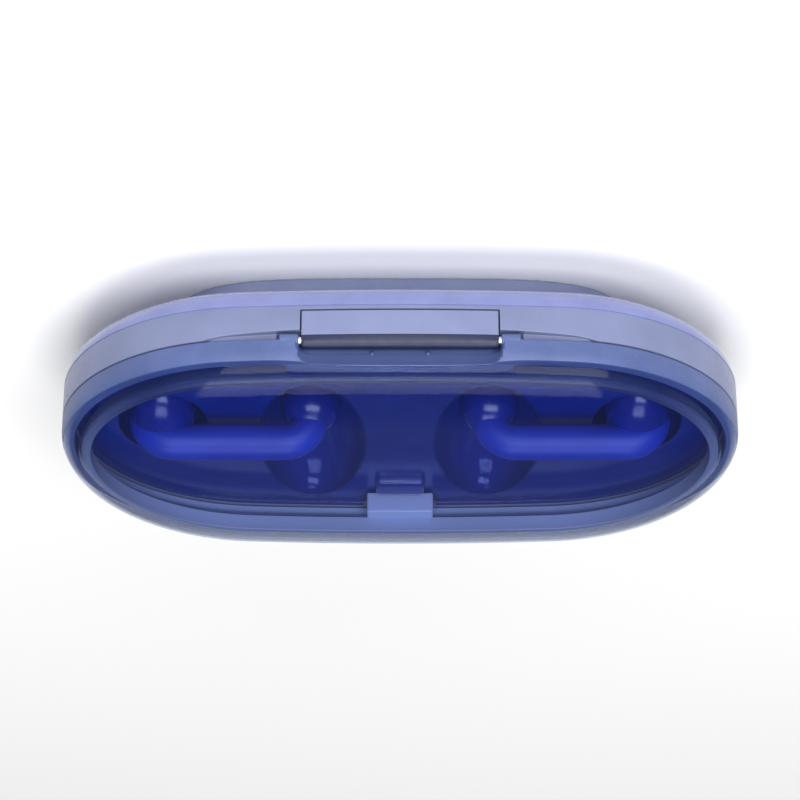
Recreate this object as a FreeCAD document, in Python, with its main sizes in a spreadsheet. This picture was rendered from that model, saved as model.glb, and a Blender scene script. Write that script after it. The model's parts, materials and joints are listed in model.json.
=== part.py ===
"""Wireless earbuds case: a flat oval case on a foot, with a clear hinged lid and two clip-on earbuds.

Millimetres. X is the long axis, +Y points to the hinge, +Z up, and z = 0 is the underside of the foot.
"""

import FreeCAD, Part
import math
import os

from FreeCAD import Placement, Rotation, Vector

doc = FreeCAD.newDocument("EarbudsCase")

DIMENSIONS = {
    # overall form
    "case_half_length": 39.0,
    "case_half_depth": 23.0,
    "end_arc_radius": 22.4,
    "case_bottom": 2.9,
    "case_top": 19.0,
    "belt_bottom": 7.9,
    "belt_top": 13.4,
    "base_rounding": 12.0,
    "lid_rounding": 9.0,
    # foot
    "foot_half_length": 26.0,
    "foot_half_depth": 14.7,
    "foot_power": 4.0,
    "foot_edge": 0.5,
    "foot_recess": 0.3,
    "foot_rim": 1.6,
    # base shells
    "shell_wall": 1.1,
    "shell_floor": 1.0,
    "shell_seam": 8.1,
    "band_wall": 1.6,
    "band_top": 12.0,
    "skirt_outer_inset": 1.35,
    "skirt_inner_inset": 2.0,
    "skirt_bottom": 7.0,
    "skirt_top": 8.6,
    # lid
    "lid_bottom": 12.15,
    "lid_wall": 1.5,
    "lip_level": 14.65,
    "lip_bump": 0.7,
    "bump_half_length": 12.0,
    "dome_wall": 1.1,
    "flange_top": 15.25,
    "flange_inner_inset": 2.3,
    "dome_skirt_outer_inset": 1.55,
    "dome_skirt_bottom": 13.4,
    "seal_outer_inset": 2.35,
    "seal_inner_inset": 3.4,
    "seal_top": 16.1,
    # hinge
    "axis_inset": 1.05,
    "axis_level": 12.05,
    "pin_radius": 0.5,
    "pin_half_length": 13.1,
    "pin_clearance": 0.05,
    "knuckle_radius": 0.95,
    "block_half_length": 10.8,
    "block_inner_face": 20.75,
    "block_bottom": 8.7,
    "block_gap": 0.14,
    "ear_radius": 0.8,
    "ear_inner": 11.1,
    "ear_outer": 13.2,
    "ear_pocket_radius": 1.02,
    "ear_pocket_half_length": 13.5,
    "relief_clearance": 0.15,
    "scoop_radius": 3.95,
    "scoop_depth_centre": 24.9,
    "scoop_level": 12.2,
    "scoop_half_length": 11.2,
    "scoop_end_round": 1.6,
    "backing_half_length": 12.4,
    "backing_inner_face": 20.0,
    "backing_top": 15.3,
    "nub_radius": 0.28,
    "nub_spacing": 6.1,
    "nub_level": 13.2,
    # cradle tray
    "deck_top": 11.4,
    "deck_thickness": 1.0,
    "tray_inset": 1.65,
    "tray_rim": 0.8,
    "tray_rim_top": 11.9,
    "pocket_wall": 0.7,
    "liner_wall": 0.3,
    "ball_offset": 10.3,
    "ball_pocket_half_y": 14.5,
    "ball_pocket_radius": 6.1,
    "ball_pocket_centre_y": -4.6,
    "bean_offset": 27.4,
    "bean_centre_y": 0.3,
    "bean_pocket_radius": 5.2,
    "bean_pocket_half_y": 7.6,
    "bean_level": 10.9,
    # earbuds
    "ball_radius": 3.5,
    "ball_level": 9.35,
    "ball_shell_wall": 0.8,
    "bean_radius": 4.0,
    "bean_half_y": 7.0,
    "barrel_level": 10.2,
    "bean_room_radius": 2.6,
    "bean_room_length": 7.0,
    "bean_room_offset": 3.6,
    "bridge_radius": 2.1,
    "bridge_level": 14.1,
    "bridge_outer_x": 29.2,
    "bridge_inner_x": 10.3,
    "bridge_bend": 3.1,
    "bridge_foot_level": 10.0,
    "bridge_y": 0.9,
    "grille_radius": 1.7,
    "driver_radius": 2.1,
    "driver_height": 2.0,
    "driver_offset": 1.6,
    "bud_cell_radius": 2.3,
    "bud_cell_length": 6.2,
    "bud_cell_offset": 3.4,
    # charging contacts
    "contact_radius": 0.55,
    "contact_height": 1.2,
    "contact_room": 0.12,
    "contact_level": 6.9,
    "contact_pitch": 2.2,
    "contact_y": 4.6,
    "plunger_radius": 0.4,
    "plunger_bottom": 5.1,
    "plunger_gap": 0.05,
    "plunger_clearance": 0.05,
    "pogo_housing_length": 5.2,
    "pogo_housing_width": 2.0,
    "pogo_housing_bottom": 4.35,
    "pogo_housing_top": 5.45,
    "pogo_bore_bottom": 4.6,
    # electronics
    "board_half_length": 15.5,
    "board_front": -15.1,
    "board_rear": -11.0,
    "board_bottom": 4.25,
    "board_thickness": 0.62,
    "usb_half_length": 4.47,
    "usb_height": 3.16,
    "usb_depth": 7.3,
    "usb_wall": 0.3,
    "usb_front": -22.45,
    "usb_level": 6.32,
    "usb_gap": 0.12,
    "tongue_half_length": 3.35,
    "tongue_thickness": 0.7,
    "tongue_depth": 6.2,
    "battery_half_length": 16.2,
    "battery_front": 10.6,
    "battery_depth": 6.0,
    "battery_bottom": 4.8,
    "battery_height": 3.8,
    "battery_edge": 1.2,
    "pad_thickness": 0.4,
    "pad_margin": 1.3,
    "pipe_radius": 0.4,
    "pipe_length": 3.6,
    "pipe_inner_y": -19.3,
    "pipe_level": 9.4,
    # magnets
    "bud_magnet_radius": 1.9,
    "bud_magnet_height": 1.2,
    "bud_magnet_bottom": 4.5,
    "bud_magnet_y": 7.6,
    "closing_magnet_half_length": 2.2,
    "closing_magnet_depth": 1.6,
    "closing_magnet_height": 2.0,
    "plinth_half_length": 3.0,
    "plinth_rear": -13.9,
    "plinth_front": -17.4,
    "plinth_top": 12.4,
    "plinth_edge": 0.6,
    "magnet_cover": 0.6,
    "catch_half_length": 4.0,
    "catch_front": -20.9,
    "catch_rear": -17.9,
    "catch_bottom": 11.7,
    "catch_top": 14.3,
    "catch_clearance": 0.45,
    # fasteners
    "screw_x": 18.9,
    "screw_y": 8.6,
    "screw_radius": 0.7,
    "screw_head_radius": 1.25,
    "screw_head_height": 0.8,
    "screw_head_gap": 0.05,
    "screw_top": 8.6,
    "boss_radius": 1.9,
    "boss_top": 5.0,
    "post_radius": 1.6,
    "post_bottom": 5.1,
}

sheet = doc.addObject("Spreadsheet::Sheet", "Dimensions")
for row, (alias, size) in enumerate(DIMENSIONS.items(), start=1):
    sheet.set(f"A{row}", alias)
    sheet.set(f"B{row}", str(size))
    sheet.setAlias(f"B{row}", alias)
doc.recompute()

# x span, y span and height of each chip on the board
CHIPS = {
    "charge_chip": (("-2.0", "2.0"), ("-14.6", "-11.4"), "0.85"),
    "hall_sensor": (("-7.6", "-5.8"), ("-14.9", "-13.5"), "0.75"),
    "status_lamp": (("5.6", "7.2"), ("-14.9", "-13.9"), "0.6"),
}

SUBPARTS = []
SIDES = {"left": -1, "right": 1}
FAR = 60.0


def size(alias):
    """The value of a driving dimension."""
    return float(sheet.get(alias))


def axis_y():
    """Depth of the hinge axis."""
    return size("case_half_depth") - size("axis_inset")


def side_arc_radius():
    """Radius of the long, shallow arcs of the oval, tangent to its end arcs."""
    a = size("case_half_length") - size("end_arc_radius")
    b = size("case_half_depth")
    r = size("end_arc_radius")
    return (a * a + b * b - r * r) / (2 * (b - r))


def outer_depth(x):
    """Depth of the case's outer face at x, along its shallow side arc."""
    radius = side_arc_radius()
    return size("case_half_depth") - radius + math.sqrt(radius**2 - x**2)


# ---------------------------------------------------------------- helpers


def keep(obj, label):
    """Names an object as one sub-part of the case."""
    obj.Label = label
    SUBPARTS.append(obj)
    return obj


def feature(name, shape):
    """A document object that holds a shape made from the sheet's sizes."""
    obj = doc.addObject("Part::Feature", name)
    obj.Shape = shape
    return obj


def bound(kind, name, sizes, at=None, rotation=None):
    """A primitive whose sizes and place are bound to the sheet."""
    obj = doc.addObject(kind, name)
    if rotation:
        obj.Placement = Placement(Vector(), rotation)
    for prop, expression in sizes.items():
        obj.setExpression(prop, expression)
    for axis, expression in zip("xyz", at or ()):
        obj.setExpression(f".Placement.Base.{axis}", expression)
    return obj


def box(name, x, y, z):
    """A block from pairs of expressions for its low and high faces."""
    sizes = {
        "Length": f"({x[1]}) - ({x[0]})",
        "Width": f"({y[1]}) - ({y[0]})",
        "Height": f"({z[1]}) - ({z[0]})",
    }
    return bound("Part::Box", name, sizes, (x[0], y[0], z[0]))


def post(name, radius, x, y, z):
    """An upright cylinder from a pair of expressions for its ends."""
    sizes = {"Radius": radius, "Height": f"({z[1]}) - ({z[0]})"}
    return bound("Part::Cylinder", name, sizes, (x, y, z[0]))


def rod(name, radius, x):
    """A cylinder along the hinge axis between two expressions for x."""
    sizes = {"Radius": radius, "Height": f"({x[1]}) - ({x[0]})"}
    y = "Dimensions.case_half_depth - Dimensions.axis_inset"
    along_x = Rotation(Vector(0, 1, 0), 90)
    return bound("Part::Cylinder", name, sizes, (x[0], y, "Dimensions.axis_level"), along_x)


def d(text):
    """Expression text with each {name} read from the sheet."""
    return text.replace("{", "Dimensions.").replace("}", "")


def fuse(name, pieces):
    """Joins several objects into one."""
    obj = doc.addObject("Part::MultiFuse", name)
    obj.Shapes = list(pieces)
    return obj


def cut(name, base, tools):
    """Takes several tools away from a base."""
    obj = doc.addObject("Part::Cut", name)
    obj.Base = base
    obj.Tool = fuse(f"{name}_tools", tools) if len(tools) > 1 else tools[0]
    return obj


def common(name, first, second):
    """What two objects share."""
    obj = doc.addObject("Part::MultiCommon", name)
    obj.Shapes = [first, second]
    return obj


def slab(name, low, high):
    """A wide level slab between two expressions for z."""
    return box(name, (str(-FAR), str(FAR)), (str(-FAR), str(FAR)), (low, high))


# ---------------------------------------------------------------- the oval form


def oval_wire(inset, level):
    """The oval outline, moved in by inset: two end arcs and two long side arcs that meet them smoothly."""
    end_x = size("case_half_length") - size("end_arc_radius")
    end_r = size("end_arc_radius") - inset
    side_y = side_arc_radius() - size("case_half_depth")
    side_r = side_arc_radius() - inset
    turn = math.atan2(side_y, end_x)
    tip_x, tip_y = end_x + end_r * math.cos(turn), end_r * math.sin(turn)
    arcs = [
        ((tip_x, -tip_y), (end_x + end_r, 0), (tip_x, tip_y)),
        ((tip_x, tip_y), (0, side_r - side_y), (-tip_x, tip_y)),
        ((-tip_x, tip_y), (-end_x - end_r, 0), (-tip_x, -tip_y)),
        ((-tip_x, -tip_y), (0, side_y - side_r), (tip_x, -tip_y)),
    ]
    edges = [Part.Arc(*(Vector(x, y, level) for x, y in arc)).toShape() for arc in arcs]
    return Part.Wire(edges)


def rounding(inset, start, height, reach, steps=9):
    """A solid that rounds the oval over from the level start, as a quarter ellipse in section."""
    wires = []
    for step in range(steps + 1):
        angle = math.pi / 2 * step / steps
        level = start + height * math.sin(angle)
        wires.append(oval_wire(inset + reach * (1 - math.cos(angle)), level))
    return Part.makeLoft(wires, True, False)


def pebble(inset, floor, roof):
    """The whole oval form, moved in by inset, from the level floor to the level roof."""
    low, high = size("belt_bottom"), size("belt_top")
    belt = Part.Face(oval_wire(inset, low)).extrude(Vector(0, 0, high - low))
    base = rounding(inset, low, floor - low, size("base_rounding") - inset)
    lid = rounding(inset, high, roof - high, size("lid_rounding") - inset)
    return base.fuse([belt, lid])


def oval_ring(outer_inset, inner_inset, low, high):
    """An upright oval ring between two insets and two levels."""
    outer = Part.Face(oval_wire(outer_inset, low)).extrude(Vector(0, 0, high - low))
    inner = Part.Face(oval_wire(inner_inset, low)).extrude(Vector(0, 0, high - low))
    return outer.cut(inner)


def spheroid(radius, half_y, centre):
    """A closed ellipsoid, round about its Y axis."""
    curve = Part.Ellipse(Vector(0, half_y, 0), Vector(radius, 0, 0), Vector())
    halves = [
        Part.ArcOfEllipse(curve, -math.pi, -math.pi / 2).toShape(),
        Part.ArcOfEllipse(curve, -math.pi / 2, 0).toShape(),
    ]
    axis = Part.makeLine(Vector(0, half_y, 0), Vector(0, -half_y, 0))
    face = Part.Face(Part.Wire(halves + [axis]))
    shape = face.revolve(Vector(), Vector(0, 1, 0), 360)
    shape.rotate(Vector(), Vector(0, 1, 0), 90)
    shape.translate(Vector(*centre))
    return shape


def arch_profile(half_length, rise, low, y_low, y_high):
    """A prism along Y whose top swells smoothly by rise over its length."""
    count = 24
    points = []
    for step in range(count + 1):
        x = -half_length + 2 * half_length * step / count
        swell = 0.5 + 0.5 * math.cos(math.pi * x / half_length)
        points.append(Vector(x, y_low, low + rise * swell * (2.0 - swell)))
    curve = Part.BSplineCurve()
    curve.interpolate(points)
    drop = Vector(0, 0, -0.1)
    sides = Part.makePolygon([points[-1], points[-1] + drop, points[0] + drop, points[0]])
    face = Part.Face(Part.Wire([curve.toShape()] + sides.Edges))
    return face.extrude(Vector(0, y_high - y_low, 0))


outer_form = feature("outer_form", pebble(0.0, size("case_bottom"), size("case_top")))
inner_form = feature(
    "inner_form",
    pebble(
        size("shell_wall"),
        size("case_bottom") + size("shell_floor"),
        size("case_top") - size("dome_wall"),
    ),
)
shell_form = cut("shell_form", outer_form, [inner_form])


# ---------------------------------------------------------------- base


def hinge_relief():
    """Room behind the hinge axis, as deep at each x as the lid's rear edge stands behind the axis."""
    count = 20
    reach = math.sqrt(2 * side_arc_radius() * (size("axis_inset") + size("relief_clearance")))
    level = size("band_top")
    points = []
    for step in range(count + 1):
        x = -reach + 2 * reach * step / count
        depth = max(outer_depth(x) - axis_y() + size("relief_clearance"), 0.0)
        points.append(Vector(x, 0, level - depth))
    curve = Part.BSplineCurve()
    curve.interpolate(points)
    top = 1.0
    sides = Part.makePolygon(
        [
            points[-1],
            points[-1] + Vector(0, 0, top),
            points[0] + Vector(0, 0, top),
            points[0],
        ]
    )
    face = Part.Face(Part.Wire([curve.toShape()] + sides.Edges))
    prism = face.extrude(Vector(0, FAR, 0))
    prism.translate(Vector(0, axis_y() - size("relief_clearance"), 0))
    return feature("hinge_relief", prism)


def screw_places():
    """The four places of the screws, as signs for x and y."""
    return [(sx, sy) for sx in (-1, 1) for sy in (-1, 1)]


def screw_post(name, radius, low, high):
    """The same cylinder at each of the four screws."""
    return [
        post(f"{name}_{n}", d(radius), d(f"{sx} * {{screw_x}}"), d(f"{sy} * {{screw_y}}"), (d(low), d(high)))
        for n, (sx, sy) in enumerate(screw_places())
    ]


def port_form(grow, length):
    """The flattened round form of the charging port, larger by grow, from its mouth inward."""
    radius = size("usb_height") / 2 + grow
    straight = size("usb_half_length") + grow - radius
    block = Part.makeBox(2 * straight, length, 2 * radius, Vector(-straight, 0, -radius))
    ends = [
        Part.makeCylinder(radius, length, Vector(x, 0, 0), Vector(0, 1, 0)) for x in (-straight, straight)
    ]
    return block.fuse(ends).removeSplitter()


def port_opening(name):
    """The hole that the charging port shows through."""
    lead = 2.0
    slot = port_form(size("usb_gap"), size("usb_depth") + lead + 0.3)
    slot.translate(Vector(0, size("usb_front") - lead, size("usb_level")))
    return feature(name, slot)


def make_foot():
    """The pedestal: a rounded-rectangle disc, hollowed a little underneath to stand on its rim."""
    power = size("foot_power")

    def outline(shrink, level):
        half_x = size("foot_half_length") - shrink
        half_y = size("foot_half_depth") - shrink
        count = 64
        points = []
        for step in range(count):
            angle = 2 * math.pi * step / count
            c, s = math.cos(angle), math.sin(angle)
            x = half_x * math.copysign(abs(c) ** (2 / power), c)
            y = half_y * math.copysign(abs(s) ** (2 / power), s)
            points.append(Vector(x, y, level))
        curve = Part.BSplineCurve()
        curve.interpolate(points, True)
        return Part.Wire([curve.toShape()])

    top = size("case_bottom") + 0.9
    edge = size("foot_edge")
    lower = Part.makeLoft([outline(edge, 0), outline(edge * 0.3, edge * 0.3), outline(0, edge)], True)
    upper = Part.Face(outline(0, edge)).extrude(Vector(0, 0, top - edge))
    recess = Part.Face(outline(size("foot_rim"), 0)).extrude(Vector(0, 0, size("foot_recess")))
    block = feature("foot_block", lower.fuse(upper).cut(recess))
    keep(cut("foot", block, [outer_form]), "foot")


def make_bottom_shell():
    """The glossy underside of the base, with screw bosses and the charging port's opening."""
    bowl = common("bottom_bowl", shell_form, slab("bottom_slab", d("{case_bottom} - 1"), d("{shell_seam}")))
    bosses = screw_post("boss", "{boss_radius}", "{case_bottom}", "{boss_top}")
    whole = fuse("bottom_with_bosses", [bowl] + bosses)
    holes = screw_post("boss_hole", "{screw_radius}", "{case_bottom} - 1", "{boss_top} + 1")
    heads = screw_post(
        "boss_recess",
        "{screw_head_radius} + {screw_head_gap}",
        "{case_bottom} - 1",
        "{case_bottom} + {screw_head_height}",
    )
    keep(cut("bottom_shell", whole, holes + heads + [port_opening("shell_port_opening")]), "bottom_shell")


def make_base_band(relief, ear_pocket):
    """The satin band round the base, with the hinge block's notch and room for the lid's rear edge."""
    band = feature("band_ring", oval_ring(0.0, size("band_wall"), size("shell_seam"), size("band_top")))
    skirt = feature(
        "band_skirt",
        oval_ring(
            size("skirt_outer_inset"), size("skirt_inner_inset"), size("skirt_bottom"), size("skirt_top")
        ),
    )
    whole = fuse("band_whole", [band, skirt])
    notch = block_notch("band_notch")
    slot = port_opening("band_port_opening")
    pipe = light_pipe_rod("band_pipe_hole", "0.42")
    notched = cut("band_notched", whole, [notch, slot, pipe])
    keep(cut("base_band", notched, [relief, ear_pocket]), "base_band")


def block_notch(name):
    """The room that the hinge block takes up, with its gap."""
    return box(
        name,
        (d("-{block_half_length} - {block_gap}"), d("{block_half_length} + {block_gap}")),
        (d("{block_inner_face} - 0.05"), str(FAR)),
        (d("{block_bottom} - {block_gap}"), d("{band_top} + 3")),
    )


def make_hinge_block():
    """The fixed knuckle: a block flush with the rear face, rounded over about the axis, and bored."""
    body = box(
        "block_body",
        (d("-{block_half_length}"), d("{block_half_length}")),
        (d("{block_inner_face}"), d("{case_half_depth} + 1")),
        (d("{block_bottom}"), d("{axis_level}")),
    )
    crown = rod("block_crown", d("{knuckle_radius}"), (d("-{block_half_length}"), d("{block_half_length}")))
    whole = fuse("block_whole", [body, crown])
    flush = common("block_flush", whole, outer_form)
    bore = rod("block_bore", d("{pin_radius}"), (str(-FAR), str(FAR)))
    keep(cut("hinge_block", flush, [bore]), "hinge_block")


def make_hinge_pin():
    """The steel pin that the lid turns on."""
    pin = rod("hinge_pin", d("{pin_radius}"), (d("-{pin_half_length}"), d("{pin_half_length}")))
    keep(pin, "hinge_pin")


# ---------------------------------------------------------------- cradle tray


def ball_pocket(sign, grow):
    """The long bowl that an earbud's ball sits in, larger by grow."""
    return spheroid(
        size("ball_pocket_radius") + grow,
        size("ball_pocket_half_y") + grow,
        (sign * size("ball_offset"), size("ball_pocket_centre_y"), size("deck_top")),
    )


def bean_pocket(sign, grow):
    """The bowl that an earbud's battery barrel sits in, larger by grow."""
    centre = (sign * size("bean_offset"), size("bean_centre_y"), size("bean_level"))
    return spheroid(size("bean_pocket_radius") + grow, size("bean_pocket_half_y") + grow, centre)


def bean_mouth(sign):
    """The upright sides of a barrel's bowl, a hair wider than the bowl itself."""
    ease = 0.05
    centre = Vector(sign * size("bean_offset"), size("bean_centre_y"), size("bean_level"))
    end = centre + Vector(0, size("bean_pocket_half_y") + ease, 0)
    side = centre + Vector(size("bean_pocket_radius") + ease, 0, 0)
    rim = Part.Ellipse(end, side, centre)
    return Part.Face(Part.Wire([rim.toShape()])).extrude(Vector(0, 0, size("bean_pocket_radius")))


def below_deck(shape):
    """The part of a shape that hangs below the deck's top."""
    keeper = Part.makeBox(2 * FAR, 2 * FAR, FAR, Vector(-FAR, -FAR, size("deck_top") - FAR))
    return shape.common(keeper)


def make_tray(ear_pocket):
    """The dark cradle: a deck with a rim and two bowls on each side, screw posts and the magnet plinth."""
    low = size("deck_top") - size("deck_thickness")
    deck = Part.Face(oval_wire(size("tray_inset"), low)).extrude(Vector(0, 0, size("deck_thickness")))
    rim_inner = size("tray_inset") + size("tray_rim")
    rim = oval_ring(size("tray_inset"), rim_inner, low, size("tray_rim_top"))
    wall = size("pocket_wall") + size("liner_wall")
    body = deck.fuse(rim)
    for sign in SIDES.values():
        body = body.fuse(below_deck(ball_pocket(sign, wall)))
        body = body.fuse(below_deck(bean_pocket(sign, size("pocket_wall"))))
    for sign in SIDES.values():
        body = body.cut(ball_pocket(sign, size("liner_wall")))
        body = body.cut(bean_pocket(sign, 0.0)).cut(bean_mouth(sign))
    posts = screw_post("tray_post", "{post_radius}", "{post_bottom}", "{deck_top}")
    whole = fuse("tray_whole", [feature("tray_body", body), plinth("tray_plinth")] + posts)
    tools = screw_post("post_hole", "{screw_radius}", "{post_bottom} - 1", "{screw_top}")
    tools += [block_notch("tray_notch"), magnet_block("plinth_magnet_room"), catch_room()]
    reach = (d("{case_bottom}"), d("{deck_top}"))
    for label, x in plunger_places("hole"):
        bore = d("{contact_radius} + {contact_room}")
        tools.append(post(f"tray_{label}", bore, x, d("{contact_y}"), reach))
    notched = cut("tray_notched", whole, tools)
    keep(cut("cradle_tray", notched, [ear_pocket]), "cradle_tray")


def plinth(name):
    """The raised plinth at the front of the deck, which holds the closing magnet."""
    block = box(
        f"{name}_block",
        (d("-{plinth_half_length}"), d("{plinth_half_length}")),
        (d("{plinth_front}"), d("{plinth_rear}")),
        (d("{deck_top} - {deck_thickness}"), d("{plinth_top}")),
    )
    doc.recompute()
    rounded = doc.addObject("Part::Fillet", name)
    rounded.Base = block
    upper = []
    for n, edge in enumerate(block.Shape.Edges, start=1):
        if edge.BoundBox.ZMin > size("plinth_top") - 0.01:
            upper.append((n, size("plinth_edge"), size("plinth_edge")))
    rounded.Edges = upper
    return rounded


def catch_room():
    """Room in the deck's front for the lid's catch to swing down into."""
    return box(
        "catch_room",
        (d("-{catch_half_length} - {catch_clearance}"), d("{catch_half_length} + {catch_clearance}")),
        (d("{catch_front} - {catch_clearance}"), d("{catch_rear} + {catch_clearance}")),
        (d("{catch_bottom} - {catch_clearance}"), d("{plinth_top} + 1")),
    )


def magnet_block(name):
    """The closing magnet, upright in the plinth."""
    return box(
        name,
        (d("-{closing_magnet_half_length}"), d("{closing_magnet_half_length}")),
        (d("{plinth_front} + {magnet_cover}"), d("{plinth_front} + {magnet_cover} + {closing_magnet_depth}")),
        (d("{plinth_top} - {magnet_cover} - {closing_magnet_height}"), d("{plinth_top} - {magnet_cover}")),
    )


def make_liners():
    """The glossy liners of the ball bowls."""
    for side, sign in SIDES.items():
        shape = ball_pocket(sign, size("liner_wall")).cut(ball_pocket(sign, 0.0))
        inside = Part.Face(oval_wire(size("tray_inset") + size("tray_rim"), size("case_bottom")))
        shape = below_deck(shape).common(inside.extrude(Vector(0, 0, FAR)))
        label = f"bowl_liner_{side}"
        liner = cut(label, feature(f"{label}_form", shape), [plinth(f"{label}_plinth")])
        keep(liner, label)


# ---------------------------------------------------------------- electronics


def plunger_places(label):
    """Name and x expression of each of the four spring contacts."""
    places = []
    for side, sign in SIDES.items():
        for number, step in enumerate((-0.5, 0.5), start=1):
            x = d(f"{sign} * {{bean_offset}} + {step} * {{contact_pitch}}")
            places.append((f"{label}_{side}_{number}", x))
    return places


def make_contacts():
    """The spring contacts under the barrel bowls, in their housings."""
    for label, x in plunger_places("pogo_plunger"):
        ends = (d("{plunger_bottom}"), d("{contact_level} - {plunger_gap}"))
        keep(post(label, d("{plunger_radius}"), x, d("{contact_y}"), ends), label)
    for side, sign in SIDES.items():
        centre = d(f"{sign} * {{bean_offset}}")
        body = box(
            f"pogo_body_{side}",
            (d(f"{centre} - {{pogo_housing_length}} / 2"), d(f"{centre} + {{pogo_housing_length}} / 2")),
            (d("{contact_y} - {pogo_housing_width} / 2"), d("{contact_y} + {pogo_housing_width} / 2")),
            (d("{pogo_housing_bottom}"), d("{pogo_housing_top}")),
        )
        bores = []
        for place, x in plunger_places("pogo_bore"):
            if side in place:
                bore = d("{plunger_radius} + {plunger_clearance}")
                ends = (d("{pogo_bore_bottom}"), d("{pogo_housing_top} + 1"))
                bores.append(post(place, bore, x, d("{contact_y}"), ends))
        label = f"pogo_housing_{side}"
        keep(cut(label, body, bores), label)


def make_board():
    """The main board with its charging chip, hall sensor and lamp."""
    board = box(
        "main_board",
        (d("-{board_half_length}"), d("{board_half_length}")),
        (d("{board_front}"), d("{board_rear}")),
        (d("{board_bottom}"), d("{board_bottom} + {board_thickness}")),
    )
    keep(board, "main_board")
    top = "{board_bottom} + {board_thickness}"
    for label, (x, y, height) in CHIPS.items():
        keep(box(label, x, y, (d(top), d(f"{top} + {height}"))), label)


def light_pipe_rod(name, radius):
    """The short rod that carries the lamp's light to the front face."""
    sizes = {"Radius": radius, "Height": d("{pipe_length}")}
    forward = Rotation(Vector(1, 0, 0), 90)
    return bound("Part::Cylinder", name, sizes, ("0", d("{pipe_inner_y}"), d("{pipe_level}")), forward)


def make_light_pipe():
    """The lamp's light pipe, flush with the front of the band."""
    keep(common("light_pipe", light_pipe_rod("pipe_rod", d("{pipe_radius}")), outer_form), "light_pipe")


def make_charging_port():
    """The charging port: a flattened steel shell and the tongue inside it."""
    outer = port_form(0.0, size("usb_depth"))
    inner = port_form(-size("usb_wall"), size("usb_depth") - size("usb_wall"))
    shell = feature("port_shell", outer.cut(inner))
    shell.Placement = Placement(Vector(0, size("usb_front"), size("usb_level")), Rotation())
    keep(shell, "port_shell")
    back = "{usb_front} + {usb_depth} - {usb_wall}"
    tongue = box(
        "port_tongue",
        (d("-{tongue_half_length}"), d("{tongue_half_length}")),
        (d(f"{back} - {{tongue_depth}}"), d(back)),
        (d("{usb_level} - {tongue_thickness} / 2"), d("{usb_level} + {tongue_thickness} / 2")),
    )
    keep(tongue, "port_tongue")


def make_battery():
    """The case's own battery and the foam pad that it lies on."""
    x = (d("-{battery_half_length}"), d("{battery_half_length}"))
    y = (d("{battery_front}"), d("{battery_front} + {battery_depth}"))
    cell = box("cell_block", x, y, (d("{battery_bottom}"), d("{battery_bottom} + {battery_height}")))
    doc.recompute()
    rounded = doc.addObject("Part::Fillet", "battery_cell")
    rounded.Base = cell
    edge_radius = size("battery_edge")
    long_edges = [n for n, edge in enumerate(cell.Shape.Edges, start=1) if edge.BoundBox.XLength > 1]
    rounded.Edges = [(n, edge_radius, edge_radius) for n in long_edges]
    keep(rounded, "battery_cell")
    pad_y = (d("{battery_front} + {pad_margin}"), d("{battery_front} + {battery_depth} - {pad_margin}"))
    pad_z = (d("{battery_bottom} - {pad_thickness}"), d("{battery_bottom}"))
    keep(box("battery_pad", x, pad_y, pad_z), "battery_pad")


def make_magnets():
    """The magnets that hold the lid shut and the earbuds down."""
    keep(magnet_block("closing_magnet"), "closing_magnet")
    for side, sign in SIDES.items():
        label = f"bud_magnet_{side}"
        ends = (d("{bud_magnet_bottom}"), d("{bud_magnet_bottom} + {bud_magnet_height}"))
        x = d(f"{sign} * {{ball_offset}}")
        keep(post(label, d("{bud_magnet_radius}"), x, d("{bud_magnet_y}"), ends), label)


def make_screws():
    """The four screws that hold the tray, hidden behind the foot."""
    shanks = screw_post("shank", "{screw_radius}", "{case_bottom} + 0.1", "{screw_top}")
    heads = screw_post(
        "head", "{screw_head_radius}", "{case_bottom} + 0.1", "{case_bottom} + {screw_head_height}"
    )
    drives = screw_post("drive", "{screw_radius} * 0.6", "{case_bottom}", "{case_bottom} + 0.5")
    keep(cut("tray_screws", fuse("screw_blanks", shanks + heads), drives), "tray_screws")


# ---------------------------------------------------------------- lid


def lip_bump():
    """The low swell in the lid band's lip, above the hinge."""
    prism = arch_profile(size("bump_half_length") + 3, size("lip_bump"), size("lip_level"), 5.0, FAR)
    ring = oval_ring(0.0, size("lid_wall"), size("lip_level") - 1.0, size("lip_level") + 2.0)
    return feature("lip_bump", ring.common(prism))


def scoop():
    """The long hollow in the lid's rear that clears the hinge block."""
    half = size("scoop_half_length")
    centre = Vector(-half, size("scoop_depth_centre"), size("scoop_level"))
    bar = Part.makeCylinder(size("scoop_radius"), 2 * half, centre, Vector(1, 0, 0))
    ends = [edge for edge in bar.Edges if edge.Closed and edge.BoundBox.XLength < 0.01]
    return feature("scoop", bar.makeFillet(size("scoop_end_round"), ends))


def backing():
    """The thick stretch of lid band behind the scoop."""
    return box(
        "backing",
        (d("-{backing_half_length}"), d("{backing_half_length}")),
        (d("{backing_inner_face}"), d("{case_half_depth}")),
        (d("{lid_bottom}"), d("{backing_top}")),
    )


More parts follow.
